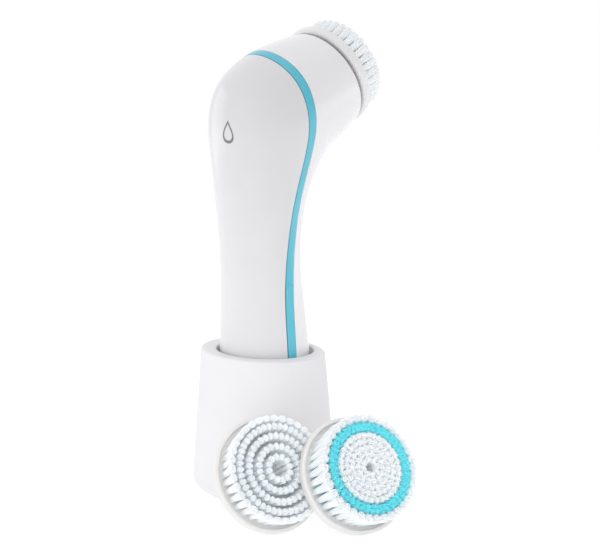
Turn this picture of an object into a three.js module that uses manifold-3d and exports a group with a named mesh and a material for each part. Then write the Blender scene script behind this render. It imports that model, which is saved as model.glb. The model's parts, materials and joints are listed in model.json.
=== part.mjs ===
// Rechargeable facial cleansing brush: an oval charging stand, a bent handle that holds a
// battery, a motor and a two-stage gear train, a pull-off brush head, and two spare brush
// heads that stand on edge beside the stand.
//
// Millimetres, +Z up. The origin is the middle of the stand's underside. The handle and the
// stand are symmetric about the plane X = 0, and the mounted brush faces -Y and upwards.
import * as THREE from "three";
import { mergeVertices } from "three/addons/utils/BufferGeometryUtils.js";
import Module from "manifold-3d";

const wasm = await Module();
wasm.setup();

// ---------------------------------------------------------------- driving dimensions
const GAP = 0.3; // left between neighbouring pieces that touch in the real object
const SLIVER = 0.02; // edges that a cut leaves shorter than this are merged

// Stand: an oval cup that narrows upwards, with a well for the handle.
const STAND_HEIGHT = 63.5;
const STAND_TOP = [32, 24.5]; // half width in X, half depth in Y
const STAND_FOOT = [38.5, 28.5];
const STAND_LIFT = 0.8; // the shell's lower edge above the table
const STAND_WALL = 2;
const WELL = [24, 20.2];
const WELL_SHIFT = -1.5; // the well's centre in Y
const WELL_FLOOR = 13.7;
const FOOT_ROUND = 2.5;
const RIM_ROUND = 1.2;

// Handle: stations along its middle line, each an elliptical section as [centre Y, centre Z,
// half width in X, half depth, degrees that the section is tipped forwards].
const HANDLE_STATIONS = [
  [-1.5, 14, 21.5, 17.5, 0],
  [-1.5, 45, 22.5, 19.5, 0],
  [-1, 73.5, 22.5, 18, -1.5],
  [1, 100.5, 20.5, 14.5, 1],
  [1, 128.5, 20, 19, 12],
  [-0.5, 148, 22, 25.5, 23],
  [-3, 161.5, 23.5, 30.4, 34],
  [-13.4, 172.1, 24, 28.6, 45.5],
  [-26.9, 178.1, 24, 26, 55.5],
  [-35.8, 182.6, 23.4, 23.4, 58.7],
];
const HANDLE_WALL = 2.2;
const END_CHAMFER = 1.5;

// The line in the plane X = 0 along which the two casing halves part, as [Y, Z] stations.
const PARTING_STATIONS = [
  [0.8, 4],
  [0.8, 36],
  [0.9, 64],
  [2.2, 88],
  [0, 110],
  [-4, 129],
  [-9, 146],
  [-11, 160],
  [-8.6, 172],
  [-4.8, 183],
  [1.5, 192.5],
  [12, 206],
];
const BAND_WIDTH = 4.1;

// Brush axis: it starts at the middle of the neck's end face and points out of it.
const NECK_CENTRE = new THREE.Vector3(0, -35.8, 182.6);
const BRUSH_ELEVATION = THREE.MathUtils.degToRad(31.3);
const NECK_RADIUS = 23.4;

// Brush heads, measured from the flat back of their base along their own axis.
const HEAD_RADIUS = 24;
const HEAD_RIM = 4.1; // height of the rim
const HEAD_FLOOR = 1.6; // height of the floor that the tufts are set in
const TUFT_TIP = 14.7; // height of the bristle tips
const HUB_RADIUS = 6.5;
const HUB_LENGTH = 6;
const SOCKET_CORNER = 3.6; // six-sided drive socket, centre to corner
const SOCKET_DEPTH = 6.4;
const HEAD_STANDOFF = 2; // the mounted head's back plane ahead of the neck's end face

// Spare heads: [X, Y, Z] of the back's centre, azimuth and elevation of the brush axis, and
// height of the bristle tips, which are longer on the head with a teal ring.
const SPARE_A = { at: [-37.2, 29.1, 20.3], azimuth: 261, elevation: 29.5, tip: 14.2 };
const SPARE_B = { at: [-61.2, 3.8, 20.3], azimuth: 259.6, elevation: 29.8, tip: 17 };
const SPARE_A_RINGS = [4.8, 9.1, 13.4, 17.4]; // radius of each ring's tips, inside the outer ring

// Gear train: two equal stages, the idler beside the brush axis.
const GEAR_MODULE = 0.5;
const PINION_TEETH = 10;
const WHEEL_TEETH = 30;
const GEAR_DISTANCE = (GEAR_MODULE * (PINION_TEETH + WHEEL_TEETH)) / 2;
const SPINDLE_RADIUS = 3;
const MOTOR_RADIUS = 10;
// Heights along the brush axis, from the neck's end face.
const MOTOR_FRONT = -24.5;
const MOTOR_BACK = -50;
const GEARBOX_BASE = [-24, -22];
const GEARBOX_COVER = [-21.7, -9.2];
const FIRST_STAGE = [-20.8, -17.6]; // the idler's wheel, driven by the motor's pinion
const SECOND_STAGE = [-15.6, -12]; // the output gear, driven by the idler's pinion
const BUSH = [-11, -6.3];
const GEARBOX_RADIUS = 20;
const AXLE_RADIUS = 1; // of the idler's axle and the motor's shaft
const GEARBOX_SCREWS = [[0, 13.3], [0, -13.3]];

// Power button on the front of the handle.
const BUTTON_Z = 104;
const BUTTON_RADIUS = 6.5;
const LIGHT_Z = 116;

// ---------------------------------------------------------------- finishes
const FINISHES = {
  shell: { color: 0xf4f4f7, roughness: 0.22, metalness: 0 },
  accent: { color: 0x35bcdc, roughness: 0.3, metalness: 0 },
  base: { color: 0xeeedeb, roughness: 0.4, metalness: 0 },
  bristle: { color: 0xe8eef6, roughness: 0.6, metalness: 0 },
  accentBristle: { color: 0x2fb8dc, roughness: 0.6, metalness: 0 },
  innerPlastic: { color: 0x8d9096, roughness: 0.5, metalness: 0 },
  rubber: { color: 0x3a3c40, roughness: 0.85, metalness: 0 },
  board: { color: 0x1f6b45, roughness: 0.5, metalness: 0 },
  chip: { color: 0x202124, roughness: 0.4, metalness: 0 },
  copper: { color: 0xb87343, roughness: 0.35, metalness: 0.9 },
  ferrite: { color: 0x35353a, roughness: 0.7, metalness: 0.1 },
  steel: { color: 0xc6c8cc, roughness: 0.3, metalness: 1 },
  brass: { color: 0xc9a24b, roughness: 0.35, metalness: 1 },
  gearPlastic: { color: 0xe6dfca, roughness: 0.45, metalness: 0 },
  battery: { color: 0x3f7f56, roughness: 0.4, metalness: 0 },
  lens: { color: 0xd8f0ff, roughness: 0.15, metalness: 0 },
  redWire: { color: 0xb3262a, roughness: 0.5, metalness: 0 },
  blackWire: { color: 0x1c1c1e, roughness: 0.5, metalness: 0 },
};

// ---------------------------------------------------------------- solids
// A closed geometry as a manifold-3d solid, for joining and cutting.
function toSolid(geometry) {
  const bare = geometry.index ? geometry.toNonIndexed() : geometry.clone();
  bare.deleteAttribute("normal");
  bare.deleteAttribute("uv");
  const merged = mergeVertices(bare, 1e-4);
  const vertProperties = merged.getAttribute("position").array;
  const triVerts = new Uint32Array(merged.index.array);
  return new wasm.Manifold(new wasm.Mesh({ numProp: 3, vertProperties, triVerts }));
}

function toGeometry(solid) {
  const mesh = solid.simplify(SLIVER).getMesh();
  const geometry = new THREE.BufferGeometry();
  geometry.setAttribute("position", new THREE.BufferAttribute(mesh.vertProperties, 3));
  geometry.setIndex(new THREE.BufferAttribute(mesh.triVerts, 1));
  geometry.computeVertexNormals();
  return geometry;
}

function box(width, depth, height, x = 0, y = 0, z = 0) {
  return new THREE.BoxGeometry(width, depth, height).translate(x, y, z);
}

// A solid of revolution about Z from [radius, height] corners. The outline runs
// anticlockwise in the radius-height plane and starts and ends on the axis, or closes.
function turned(corners, segments = 28) {
  const points = corners.map(([radius, height]) => new THREE.Vector2(radius, height));
  const geometry = new THREE.LatheGeometry(points, segments);
  return geometry.rotateX(Math.PI / 2);
}

function disc(radius, low, high, segments = 20) {
  return turned([[0, low], [radius, low], [radius, high], [0, high]], segments);
}

function ring(inner, outer, low, high, segments = 20) {
  const corners = [[inner, low], [outer, low], [outer, high], [inner, high], [inner, low]];
  return turned(corners, segments);
}

// An oval cylinder with half axes a and b.
function ovalDisc(a, b, low, high, y = 0, segments = 36) {
  return disc(1, low, high, segments).scale(a, b, 1).translate(0, y, 0);
}

// A closed solid through a list of rings, each a list of points, with a flat cap at each
// end. The rings run anticlockwise when seen from the last ring's side.
function loft(rings) {
  const count = rings[0].length;
  const positions = [];
  const addTriangle = (a, b, c) => positions.push(...a, ...b, ...c);
  const middle = (points) => {
    const sum = points.reduce((total, p) => total.add(p), new THREE.Vector3());
    return sum.divideScalar(points.length);
  };
  const [bottom, top] = [rings[0], rings[rings.length - 1]];
  const [bottomMiddle, topMiddle] = [middle(bottom), middle(top)];
  for (let i = 0; i < count; i++) {
    const next = (i + 1) % count;
    addTriangle(bottomMiddle, bottom[next], bottom[i]);
    addTriangle(topMiddle, top[i], top[next]);
    for (let k = 0; k + 1 < rings.length; k++) {
      const [low, high] = [rings[k], rings[k + 1]];
      addTriangle(low[i], low[next], high[next]);
      addTriangle(low[i], high[next], high[i]);
    }
  }
  const geometry = new THREE.BufferGeometry();
  geometry.setAttribute("position", new THREE.Float32BufferAttribute(positions, 3));
  geometry.computeVertexNormals();
  return geometry;
}

// ---------------------------------------------------------------- curves
// A smooth curve drawn by stations: a uniform cubic B-spline that starts at the first
// station and ends at the last. t runs from 0 to 1. Returns its values and its direction.
function spline(stations, t) {
  const spans = stations.length - 1;
  const span = Math.min(Math.floor(t * spans), spans - 1);
  const u = t * spans - span;
  const mirror = (end, inner) => end.map((value, i) => 2 * value - inner[i]);
  const station = (i) => {
    if (i < 0) return mirror(stations[0], stations[1]);
    if (i > spans) return mirror(stations[spans], stations[spans - 1]);
    return stations[i];
  };
  const four = [span - 1, span, span + 1, span + 2].map(station);
  const weights = [
    (1 - u) ** 3 / 6,
    (3 * u ** 3 - 6 * u ** 2 + 4) / 6,
    (-3 * u ** 3 + 3 * u ** 2 + 3 * u + 1) / 6,
    u ** 3 / 6,
  ];
  const slopes = [
    (-((1 - u) ** 2)) / 2,
    (3 * u ** 2 - 4 * u) / 2,
    (-3 * u ** 2 + 2 * u + 1) / 2,
    u ** 2 / 2,
  ];
  const mix = (w) => stations[0].map((_, i) => four.reduce((sum, s, k) => sum + w[k] * s[i], 0));
  return { value: mix(weights), slope: mix(slopes) };
}

// One elliptical cross-section of the handle, at t along its middle line.
function handleRing(t, inset = 0, ahead = 0, count = 28) {
  const [y, z, halfWidth, halfDepth, tipped] = spline(HANDLE_STATIONS, t).value;
  const tilt = THREE.MathUtils.degToRad(tipped);
  const along = new THREE.Vector2(-Math.sin(tilt), Math.cos(tilt));
  const points = [];
  for (let i = 0; i < count; i++) {
    const angle = (2 * Math.PI * i) / count;
    const across = (halfWidth - inset) * Math.cos(angle);
    const out = (halfDepth - inset) * Math.sin(angle);
    points.push(
      new THREE.Vector3(
        across,
        y + out * along.y + ahead * along.x,
        z - out * along.x + ahead * along.y,
      ),
    );
  }
  return points;
}

// The line along which the casing parts, moved sideways in the plane X = 0.
function partingLine(offset, steps = 20) {
  const points = [];
  for (let i = 0; i <= steps; i++) {
    const { value, slope } = spline(PARTING_STATIONS, i / steps);
    const along = new THREE.Vector2(slope[0], slope[1]).normalize();
    points.push(new THREE.Vector2(value[0] + offset * along.y, value[1] - offset * along.x));
  }
  return points;
}

// A solid whose outline lies in the plane X = 0, as [Y, Z] points, and which runs across it.
function acrossX(outline, halfWidth = 40) {
  const settings = { depth: 2 * halfWidth, bevelEnabled: false };
  const geometry = new THREE.ExtrudeGeometry(new THREE.Shape(outline), settings);
  const [right, up, out] = [
    new THREE.Vector3(0, 1, 0),
    new THREE.Vector3(0, 0, 1),
    new THREE.Vector3(1, 0, 0),
  ];
  geometry.applyMatrix4(new THREE.Matrix4().makeBasis(right, up, out));
  return geometry.translate(-halfWidth, 0, 0);
}

// A cylinder that points along -Y, from one Y to another.
function alongY(radius, from, to, x, z, segments = 20) {
  return disc(radius, -to, -from, segments).rotateX(Math.PI / 2).translate(x, 0, z);
}

// ---------------------------------------------------------------- assembly helpers
const brush = new THREE.Group();

function piece(name, geometry, finish, parent = brush) {
  const mesh = new THREE.Mesh(geometry, new THREE.MeshStandardMaterial(FINISHES[finish]));
  mesh.name = name;
  parent.add(mesh);
  return mesh;
}

// A group whose +Z is the given direction and whose X axis is level.
function axisGroup(origin, direction) {
  const group = new THREE.Group();
  const level = new THREE.Vector3(0, 0, 1).cross(direction).normalize();
  const up = direction.clone().cross(level);
  const basis = new THREE.Matrix4().makeBasis(level, up, direction);
  group.quaternion.setFromRotationMatrix(basis);
  group.position.copy(origin);
  brush.add(group);
  return group;
}

function direction(azimuthDegrees, elevation) {
  const azimuth = THREE.MathUtils.degToRad(azimuthDegrees);
  return new THREE.Vector3(
    Math.sin(azimuth) * Math.cos(elevation),
    -Math.cos(azimuth) * Math.cos(elevation),
    Math.sin(elevation),
  );
}

// ---------------------------------------------------------------- stand
// The stand's outline at a height, inset by a wall.
function standRing(z, inset, count = 36) {
  const share = 1 - (z - STAND_LIFT) / (STAND_HEIGHT - STAND_LIFT);
  const points = [];
  for (let i = 0; i < count; i++) {
    const angle = (2 * Math.PI * i) / count;
    const a = STAND_TOP[0] + (STAND_FOOT[0] - STAND_TOP[0]) * share - inset;
    const b = STAND_TOP[1] + (STAND_FOOT[1] - STAND_TOP[1]) * share - inset;
    points.push(new THREE.Vector3(a * Math.cos(angle), b * Math.sin(angle), z));
  }
  return points;
}

const STAND_SCREWS = [[29.5, 8], [-29.5, 8], [-29.5, -8], [29.5, -8]];
const SCREW_RADIUS = 1.2;
const SCREW_HEAD = 2.2;
const BOSS_RADIUS = 2.8;
const INLET_Z = 8;
const INLET_SIZE = [9, 10, 7];
const INLET_HOLE = 1.9; // radius of the socket that takes the plug
const INLET_RECESS = 4.6; // radius of the hole through the shell in front of the socket

function buildStand() {
  const rounded = Math.SQRT1_2; // halfway round a quarter arc
  const outer = loft([
    standRing(STAND_LIFT, FOOT_ROUND),
    standRing(STAND_LIFT + FOOT_ROUND * (1 - rounded), FOOT_ROUND * (1 - rounded)),
    standRing(STAND_LIFT + FOOT_ROUND, 0),
    standRing(STAND_HEIGHT - RIM_ROUND, 0),
    standRing(STAND_HEIGHT - RIM_ROUND * (1 - rounded), RIM_ROUND * (1 - rounded)),
    standRing(STAND_HEIGHT, RIM_ROUND),
  ]);
  const cavity = loft([
    standRing(-1, STAND_WALL + FOOT_ROUND / 2),
    standRing(6, STAND_WALL),
    standRing(STAND_HEIGHT - STAND_WALL, STAND_WALL),
  ]);
  const wellBottom = WELL_FLOOR - STAND_WALL;
  const wellSkin = ovalDisc(
    WELL[0] + STAND_WALL, WELL[1] + STAND_WALL, wellBottom, STAND_HEIGHT + 1, WELL_SHIFT,
  );
  const well = ovalDisc(WELL[0], WELL[1], WELL_FLOOR, STAND_HEIGHT + 2, WELL_SHIFT);
  const inletHole = alongY(INLET_RECESS, -STAND_FOOT[1] - 2, -22, 0, INLET_Z);
  let shell = toSolid(outer)
    .subtract(toSolid(cavity).subtract(toSolid(wellSkin)))
    .subtract(toSolid(well));
  for (const [x, y] of STAND_SCREWS) {
    const boss = disc(BOSS_RADIUS, 4, 30, 12).translate(x, y, 0);
    const reach = toSolid(boss).intersect(toSolid(cavity).add(toSolid(outer)));
    const pilot = disc(SCREW_RADIUS + GAP, 0, 20, 12).translate(x, y, 0);
    shell = shell.add(reach).subtract(toSolid(pilot));
  }
  shell = shell.subtract(toSolid(inletHole));
  piece("stand_shell", toGeometry(shell), "shell");

  const plateInset = STAND_WALL + FOOT_ROUND / 2 + GAP;
  let plate = toSolid(loft([standRing(1.4, plateInset), standRing(3.4, plateInset)]));
  for (const [x, y] of STAND_SCREWS) {
    plate = plate.subtract(toSolid(disc(SCREW_RADIUS + GAP, 0, 5, 12).translate(x, y, 0)));
    plate = plate.subtract(toSolid(disc(SCREW_HEAD + 0.4, 0, 2.6, 12).translate(x, y, 0)));
  }
  piece("stand_base_plate", toGeometry(plate), "innerPlastic");
  piece("non_slip_pad", ovalDisc(25.5, 20, 0, 1.1), "rubber");

  STAND_SCREWS.forEach(([x, y], i) => {
    const outline = [
      [0, 1.3], [SCREW_HEAD, 1.3], [SCREW_HEAD, 2.3], [SCREW_RADIUS, 2.4],
      [SCREW_RADIUS, 12], [0, 13],
    ];
    piece(`stand_screw_${i + 1}`, turned(outline, 12).translate(x, y, 0), "steel");
  });

  piece("charging_coil", ring(5, 14, 9.2, 11.2, 24), "copper");
  piece("coil_ferrite", disc(15, 7.7, 8.9, 24), "ferrite");
  piece("stand_circuit_board", box(40, 26, 1.6, 0, 2, 6.2), "board");
  piece("charge_controller", box(7, 7, 1.2, 12, 6, 4.5), "chip");

  const [width, depth, height] = INLET_SIZE;
  const inletY = -(STAND_FOOT[1] - STAND_WALL - GAP - 1.2 - depth / 2);
  const inletBody = box(width, depth, height, 0, inletY, INLET_Z - 0.6);
  const mouth = alongY(INLET_HOLE, -30, inletY + 3, 0, INLET_Z);
  const pin = alongY(0.65, inletY - depth / 2 + 1, inletY + 3.5, 0, INLET_Z, 10);
  const inlet = toSolid(inletBody).subtract(toSolid(mouth)).add(toSolid(pin));
  piece("power_inlet", toGeometry(inlet), "chip");
}

// ---------------------------------------------------------------- handle casing
function buildCasing() {
  const steps = 22;
  const past = 3; // the hollow runs past both ends, so that it opens them
  const outerRings = [handleRing(0, END_CHAMFER), handleRing(0, 0, END_CHAMFER)];
  const innerRings = [handleRing(0, HANDLE_WALL, -past)];
  for (let i = 1; i < steps; i++) {
    outerRings.push(handleRing(i / steps));
    innerRings.push(handleRing(i / steps, HANDLE_WALL));
  }
  outerRings.push(handleRing(1));
  innerRings.push(handleRing(1, HANDLE_WALL, past));
  const walls = toSolid(loft(outerRings)).subtract(toSolid(loft(innerRings)));

  const edge = BAND_WIDTH / 2;
  const [low, high, far] = [-5, 240, 90]; // well outside the casing
  const rearOutline = [
    ...partingLine(edge + GAP / 2),
    new THREE.Vector2(far, high),
    new THREE.Vector2(far, low),
  ];
  const frontOutline = [
    ...partingLine(-edge - GAP / 2),
    new THREE.Vector2(-far, high),
    new THREE.Vector2(-far, low),
  ];
  const bandOutline = [
    ...partingLine(edge - GAP / 2),
    ...partingLine(GAP / 2 - edge).reverse(),
  ];
  const rear = walls.intersect(toSolid(acrossX(rearOutline)));
  const buttonHole = alongY(BUTTON_RADIUS + GAP, -30, -8, 0, BUTTON_Z, 28);
  const lightHole = alongY(1.6, -30, -8, 0, LIGHT_Z, 12);
  const front = walls
    .intersect(toSolid(acrossX(frontOutline)))
    .subtract(toSolid(buttonHole))
    .subtract(toSolid(lightHole));
  const band = walls.intersect(toSolid(acrossX(bandOutline)));
  piece("rear_cover", toGeometry(rear), "shell");
  piece("front_shell", toGeometry(front), "shell");
  piece("trim_band", toGeometry(band), "accent");

  const [, z, a, b] = HANDLE_STATIONS[0];
  const inset = HANDLE_WALL + GAP;
  const shift = HANDLE_STATIONS[0][0];
  piece("handle_end_cap", ovalDisc(a - inset, b - inset, z + 0.2, z + 2.6, shift), "base");
}

// ---------------------------------------------------------------- parts inside the handle
const BOARD_Y = -7; // middle of the main board
const BATTERY = { radius: 7.2, low: 42, high: 92, y: 3.5 };
const WIRE_RADIUS = 0.6;

function wire(name, points, finish) {
  const curve = new THREE.CatmullRomCurve3(points.map((p) => new THREE.Vector3(...p)));
  const section = new THREE.Shape();
  const sides = 8;
  for (let i = 0; i < sides; i++) {
    const angle = (2 * Math.PI * i) / sides;
    const place = [WIRE_RADIUS * Math.cos(angle), WIRE_RADIUS * Math.sin(angle)];
    if (i === 0) section.moveTo(...place);
    else section.lineTo(...place);
  }
  section.closePath();
  const settings = { steps: 14, extrudePath: curve, bevelEnabled: false };
  piece(name, new THREE.ExtrudeGeometry(section, settings), finish);
}

function buildInside() {
  const centre = HANDLE_STATIONS[0][0];
  piece("receiver_coil", ring(4.5, 13, 17.2, 18.8, 24).translate(0, centre, 0), "copper");
  piece("receiver_ferrite", disc(13.5, 19.1, 20.1, 24).translate(0, centre, 0), "ferrite");

  const { radius, low, high, y } = BATTERY;
  const cell = [
    [0, low], [radius, low], [radius, high - 2], [radius - 1, high - 1.2],
    [2.6, high - 1.2], [2.6, high], [0, high],
  ];
  piece("battery_cell", turned(cell, 24).translate(0, y, 0), "battery");

  const plate = box(24, 1.5, 104, 0, -4.95, 76);
  const shelf = (z) => box(15, 14, 1.5, 0, 2.6, z);
  const frame = toSolid(plate)
    .add(toSolid(shelf(low - 1.1)))
    .add(toSolid(shelf(high + 1.1)));
  piece("inner_frame", toGeometry(frame), "innerPlastic");

  piece("main_board", box(21, 1.6, 96, 0, BOARD_Y, 84), "board");
  piece("tact_switch", box(6, 2.2, 6, 0, BOARD_Y - 2.2, BUTTON_Z), "chip");
  piece("motor_driver_chip", box(8, 1.3, 8, 0, BOARD_Y - 1.75, 78), "chip");
  piece("status_led", box(2.4, 1.1, 2.4, 0, BOARD_Y - 1.65, LIGHT_Z), "lens");
  piece("light_pipe", alongY(1.3, -16.2, -9.6, 0, LIGHT_Z, 12), "lens");
  const membrane = ring(6.9, 8.4, 9.6, 10.2, 24).rotateX(Math.PI / 2);
  piece("button_membrane", membrane.translate(0, 0, BUTTON_Z), "rubber");

  const button = turned(
    [[0, 11.3], [7.3, 11.3], [7.3, 11.65], [BUTTON_RADIUS, 11.65], [BUTTON_RADIUS, 14.9],
      [BUTTON_RADIUS - 0.6, 15.4], [0, 15.7]],
    28,
  );
  piece("power_button", button.rotateX(Math.PI / 2).translate(0, 0, BUTTON_Z), "accent");

  for (const [name, side, finish] of [["red", 1, "redWire"], ["black", -1, "blackWire"]]) {
    const x = 4 * side;
    const route = [
      [x, 9.4, 155.1], [x, 11.8, 151.5], [x, 11, 145], [x, 5, 139.5], [x, -1.5, 135.5],
      [x, -4.5, 131.5], [x, -5.85, 130.2],
    ];
    wire(`motor_lead_${name}`, route, finish);
  }
}

// ---------------------------------------------------------------- drive train
// A spur gear's outline: involute flanks with a little play, and flat roots and tips.
function gearOutline(teeth, turn) {
  const pitch = (GEAR_MODULE * teeth) / 2;
  const baseRadius = pitch * Math.cos(THREE.MathUtils.degToRad(20));
  const play = 0.1; // taken off the tooth's thickness at the pitch circle
  const involute = (radius) => {
    if (radius <= baseRadius) return 0;
    const a = Math.acos(baseRadius / radius);
    return Math.tan(a) - a;
  };
  const halfAtPitch = (Math.PI * GEAR_MODULE) / 4 - play / 2;
  const half = (radius) => halfAtPitch / pitch + involute(pitch) - involute(radius);
  const root = pitch - 1.3 * GEAR_MODULE;
  const tip = pitch + 0.9 * GEAR_MODULE;
  const flank = [root, tip];
  const points = [];
  for (let i = 0; i < teeth; i++) {
    const middle = turn + (2 * Math.PI * i) / teeth;
    const rising = flank.map((radius) => [radius, middle - half(radius)]);
    const falling = flank.map((radius) => [radius, middle + half(radius)]).reverse();
    for (const [radius, angle] of [...rising, ...falling])
      points.push(new THREE.Vector2(radius * Math.cos(angle), radius * Math.sin(angle)));
  }
  return points;
}

function gear(teeth, turn, bore, low, high) {
  const shape = new THREE.Shape(gearOutline(teeth, turn));
  const hole = new THREE.Path();
  hole.absarc(0, 0, bore, 0, 2 * Math.PI, true);
  shape.holes.push(hole);
  const settings = { depth: high - low, bevelEnabled: false, curveSegments: 12 };
  return new THREE.ExtrudeGeometry(shape, settings).translate(0, 0, low);
}

function buildDrive(neck) {
  const idlerAt = (geometry) => geometry.translate(GEAR_DISTANCE, 0, 0);

  // Neck plate: closes the neck, with a cup in its middle that the head's hub turns in.
  const cupRadius = HUB_RADIUS + 1.7;
  const cupFloor = HEAD_STANDOFF - HUB_LENGTH - 0.6;
  const plateRadius = NECK_RADIUS - HANDLE_WALL - GAP;
  const plate = turned([
    [5.3, cupFloor - 1.2], [cupRadius + 1.2, cupFloor - 1.2], [cupRadius + 1.2, -2.4],
    [plateRadius, -2.4], [plateRadius, -0.6], [cupRadius, -0.6], [cupRadius, cupFloor],
    [5.3, cupFloor], [5.3, cupFloor - 1.2],
  ]);
  piece("neck_plate", plate, "base", neck);
  piece("shaft_seal", ring(SPINDLE_RADIUS + 0.15, 5, -5.7, -4.7), "rubber", neck);

  // Gearbox: a plate that carries the motor, and a cup-shaped cover with the long bush.
  const [baseLow, baseHigh] = GEARBOX_BASE;
  const [coverLow, coverHigh] = GEARBOX_COVER;
  const [bushLow, bushHigh] = BUSH;
  const [outside, inside] = [GEARBOX_RADIUS - 0.4, GEARBOX_RADIUS - 1.6];
  const axleHole = AXLE_RADIUS + GAP;
  const screwHole = SCREW_RADIUS + GAP;
  let base = toSolid(disc(GEARBOX_RADIUS, baseLow, baseHigh, 32));
  base = base.subtract(toSolid(disc(4, baseLow - 1, baseHigh + 1, 16)));
  base = base.subtract(toSolid(idlerAt(disc(axleHole, baseLow - 1, baseHigh + 1, 12))));
  let cover = toSolid(turned([
    [4.9, bushLow], [inside, bushLow], [inside, coverLow], [outside, coverLow],
    [outside, coverHigh], [6.4, coverHigh], [6.4, bushHigh], [4.9, bushHigh], [4.9, bushLow],
  ]));
  for (const [x, y] of GEARBOX_SCREWS) {
    cover = cover.add(toSolid(disc(2.6, coverLow, -10, 12).translate(x, y, 0)));
    cover = cover.subtract(toSolid(disc(screwHole, -23, -12, 12).translate(x, y, 0)));
    base = base.subtract(toSolid(disc(screwHole, -26, -20, 12).translate(x, y, 0)));
  }
  cover = cover.subtract(toSolid(idlerAt(disc(axleHole, -12, -8, 12))));
  piece("gearbox_base", toGeometry(base), "innerPlastic", neck);
  piece("gearbox_cover", toGeometry(cover), "innerPlastic", neck);
  const headLow = baseLow - GAP;
  GEARBOX_SCREWS.forEach(([x, y], i) => {
    const outline = [
      [0, headLow - 1.3], [SCREW_HEAD, headLow - 1.3], [SCREW_HEAD, headLow],
      [SCREW_RADIUS, headLow], [SCREW_RADIUS, -14], [0, -13.4],
    ];
    piece(`gearbox_screw_${i + 1}`, turned(outline, 12).translate(x, y, 0), "steel", neck);
  });
  piece("spindle_bush", ring(SPINDLE_RADIUS + 0.08, 4.6, bushLow, bushHigh, 24), "brass", neck);
  piece("idler_axle", idlerAt(disc(AXLE_RADIUS, baseLow + 0.2, coverHigh - 0.2, 16)), "steel", neck);

  // Motor.
  const canInside = MOTOR_RADIUS - 1;
  const can = turned([
    [2.2, MOTOR_FRONT], [2.2, MOTOR_FRONT - 1], [canInside, MOTOR_FRONT - 1],
    [canInside, MOTOR_BACK], [MOTOR_RADIUS, MOTOR_BACK], [MOTOR_RADIUS, MOTOR_FRONT],
    [2.2, MOTOR_FRONT],
  ]);
  piece("motor_can", can, "steel", neck);
  piece("motor_end_cap", disc(9.6, MOTOR_BACK - 1.8, MOTOR_BACK - GAP), "chip", neck);
  const armature = ring(1.3, 7.6, MOTOR_BACK + 4, MOTOR_FRONT - 5);
  piece("motor_armature", armature, "copper", neck);
  piece("motor_shaft", disc(AXLE_RADIUS, MOTOR_BACK + 1, -16.9, 16), "steel", neck);
  const [firstLow, firstHigh] = FIRST_STAGE;
  const [secondLow, secondHigh] = SECOND_STAGE;
  const wider = 0.4; // a pinion is this much wider than its wheel at each end
  const motorPinion = gear(PINION_TEETH, 0, AXLE_RADIUS + GAP, firstLow - wider, firstHigh + wider);
  piece("motor_pinion", motorPinion, "brass", neck);

  // Idler: its wheel meshes with the motor pinion, and its pinion with the output gear.
  const bore = AXLE_RADIUS + 0.08;
  const wheelTurn = Math.PI + Math.PI / WHEEL_TEETH;
  const wheel = gear(WHEEL_TEETH, wheelTurn, bore, firstLow, firstHigh);
  const smallTurn = Math.PI + Math.PI / PINION_TEETH;
  const small = gear(PINION_TEETH, smallTurn, bore, firstHigh - 0.1, secondHigh + 0.5);
  const idler = toSolid(wheel).add(toSolid(small));
  piece("idler_gear", idlerAt(toGeometry(idler)), "gearPlastic", neck);

  // Output: gear, spindle and the six-sided drive that the head pushes on to.
  const output = gear(WHEEL_TEETH, 0, SPINDLE_RADIUS + GAP, secondLow, secondHigh);
  piece("output_gear", output, "gearPlastic", neck);
  const shaft = toSolid(disc(SPINDLE_RADIUS, -16.2, -4.2, 24));
  const driveEnd = HEAD_STANDOFF - HUB_LENGTH + SOCKET_DEPTH - GAP;
  const drive = toSolid(disc(SOCKET_CORNER - 0.35, -4.3, driveEnd, 6));
  piece("spindle", toGeometry(shaft.add(drive)), "steel", neck);
}

// ---------------------------------------------------------------- brush heads
function headBase(name, parent) {
  const body = turned([
    [0, -HUB_LENGTH], [HUB_RADIUS, -HUB_LENGTH], [HUB_RADIUS, 0], [HEAD_RADIUS - 1.8, 0],
    [HEAD_RADIUS - 0.5, 0.6], [HEAD_RADIUS, 1.8], [HEAD_RADIUS, HEAD_RIM],
    [HEAD_RADIUS - 1.4, HEAD_RIM], [HEAD_RADIUS - 1.8, HEAD_FLOOR], [0, HEAD_FLOOR],
  ], 28);
  const socket = disc(SOCKET_CORNER, -HUB_LENGTH - 1, SOCKET_DEPTH - HUB_LENGTH, 6);
  piece(name, toGeometry(toSolid(body).subtract(toSolid(socket))), "base", parent);
}

// A ring of bristle tufts as one closed solid: narrow where it is set in the base, and
// wider at the tips. inner and outer are its radii at the tips, and tip is their height.
function tuftRing(name, inner, outer, finish, parent, tip) {
  const root = HEAD_FLOOR + GAP;
  const lean = 0.93; // the tufts fan out a little towards their tips
  const squeeze = Math.min(0.5, (outer - inner) / 6);
  const innerRoot = inner * lean + squeeze;
  const outerRoot = outer * lean - squeeze;
  const outline = [
    [innerRoot, root], [outerRoot, root], [outer, tip], [inner, tip],
    [innerRoot, root],
  ];
  piece(name, turned(outline, 24), finish, parent);
}

const OUTER_TUFTS = [19.8, 22.1]; // radii of the outermost ring of tufts at the tips

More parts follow.
